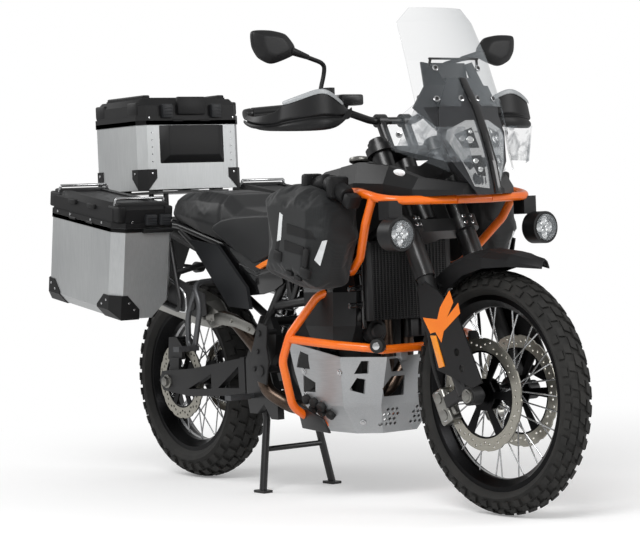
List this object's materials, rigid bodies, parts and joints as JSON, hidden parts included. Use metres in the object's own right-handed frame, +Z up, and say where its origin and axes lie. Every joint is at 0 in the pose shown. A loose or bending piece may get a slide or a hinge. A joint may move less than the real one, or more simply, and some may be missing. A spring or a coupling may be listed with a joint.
{
  "type": "adventure motorcycle",
  "caption": "Touring enduro motorcycle with tall clear screen, stacked headlamp, crash bars, wire wheels, hard side cases, top case and soft tank bags, upright on its centre stand.",
  "frame": {"origin": "centre of the overall box, on the floor under the tyres and the centre stand", "axes": "+X forward, +Y to the rider's left, +Z up"},
  "size_m": [2.2078, 1.0068, 1.452],
  "materials": {
    "frame_paint": "satin black powder coat",
    "spring_steel": "gloss coated spring",
    "engine_alloy": "matt black cast alloy",
    "header_steel": "heat tinted steel",
    "silencer_steel": "satin",
    "black_plastic": "fine grained",
    "chain_steel": "oiled",
    "dark_metal": "satin black",
    "orange_paint": "gloss powder coat",
    "tank_paint": "satin black",
    "seat_cover": "grained synthetic cover",
    "grey_plastic": "fine grained",
    "lamp_glass": "clear moulded lens",
    "screen_acrylic": "clear acrylic",
    "lamp_chrome": "polished reflector",
    "brushed_alloy": "brushed",
    "rack_steel": "satin black",
    "case_alloy": "anodised, fine brushed",
    "bag_fabric": "coated woven fabric",
    "fork_outer": "black anodised",
    "tyre_rubber": "matt",
    "rim_black": "gloss black",
    "disc_steel": "ground"
  },
  "bodies": {
    "chassis": {"main_frame": "frame_paint", "subframe": "frame_paint", "swingarm": "frame_paint", "rear_shock": "spring_steel", "engine": "engine_alloy", "exhaust_pipes": "header_steel", "silencer": "silencer_steel", "radiator": "black_plastic", "drive_chain": "chain_steel", "rear_axle_and_caliper": "dark_metal", "upper_crash_bars": "orange_paint", "lower_crash_bars": "orange_paint", "fuel_tank": "tank_paint", "tail": "black_plastic", "seat": "seat_cover", "side_panels": "grey_plastic", "side_fairings": "black_plastic", "nose_fairing": "black_plastic", "headlamp": "lamp_glass", "windscreen": "screen_acrylic", "dash": "black_plastic", "auxiliary_lamps": "lamp_chrome", "skid_plate": "brushed_alloy", "rider_footpegs": "dark_metal", "passenger_footpegs": "dark_metal", "luggage_rack": "rack_steel", "right_pannier": "case_alloy", "left_pannier": "case_alloy", "top_case": "case_alloy", "side_bags": "bag_fabric"},
    "front_end": {"fork_tubes": "fork_outer", "fork_sliders": "fork_outer", "triple_clamps": "dark_metal", "handlebar": "dark_metal", "hand_guards": "black_plastic", "mirrors": "black_plastic", "front_fender": "black_plastic", "fork_guards": "black_plastic", "front_calipers": "dark_metal"},
    "front_wheel": {"front_tyre": "tyre_rubber", "front_spoked_rim": "rim_black", "front_brake_discs": "disc_steel"},
    "rear_wheel": {"rear_tyre": "tyre_rubber", "rear_spoked_rim": "rim_black", "rear_disc_and_sprocket": "disc_steel"},
    "right_pannier_lid": {"right_pannier_lid": "case_alloy"},
    "left_pannier_lid": {"left_pannier_lid": "case_alloy"},
    "top_case_lid": {"top_case_lid": "case_alloy"},
    "centre_stand": {"centre_stand": "dark_metal"},
    "side_stand": {"side_stand": "dark_metal"}
  },
  "joints": [
    {"name": "steering", "type": "hinge", "parent": "chassis", "child": "front_end", "pos_m": [0.8674, 0, 0], "axis": [-0.4431, 0, 0.8965], "range_deg": [-35, 35]},
    {"name": "front_wheel_spin", "type": "hinge", "parent": "front_end", "child": "front_wheel", "pos_m": [0.757, 0, 0.347], "axis": [0, 1, 0], "continuous": true},
    {"name": "rear_wheel_spin", "type": "hinge", "parent": "chassis", "child": "rear_wheel", "pos_m": [-0.771, 0, 0.333], "axis": [0, 1, 0], "continuous": true},
    {"name": "centre_stand_fold", "type": "hinge", "parent": "chassis", "child": "centre_stand", "pos_m": [-0.27134, 0, 0.27], "axis": [0, 1, 0], "range_deg": [0, 92]},
    {"name": "side_stand_fold", "type": "hinge", "parent": "chassis", "child": "side_stand", "pos_m": [-0.15827, 0.16783, 0.254], "axis": [0, -0.89, -0.456], "range_deg": [0, 98]},
    {"name": "right_pannier_lid_hinge", "type": "hinge", "parent": "chassis", "child": "right_pannier_lid", "pos_m": [-0.7267, -0.472, 0.8841], "axis": [0.9877, 0, -0.1564], "range_deg": [0, 95]},
    {"name": "left_pannier_lid_hinge", "type": "hinge", "parent": "chassis", "child": "left_pannier_lid", "pos_m": [-0.7267, 0.472, 0.8841], "axis": [-0.9877, 0, 0.1564], "range_deg": [0, 95]},
    {"name": "top_case_lid_hinge", "type": "hinge", "parent": "chassis", "child": "top_case_lid", "pos_m": [-0.776, 0, 1.206], "axis": [0, 1, 0], "range_deg": [0, 80]}
  ]
}
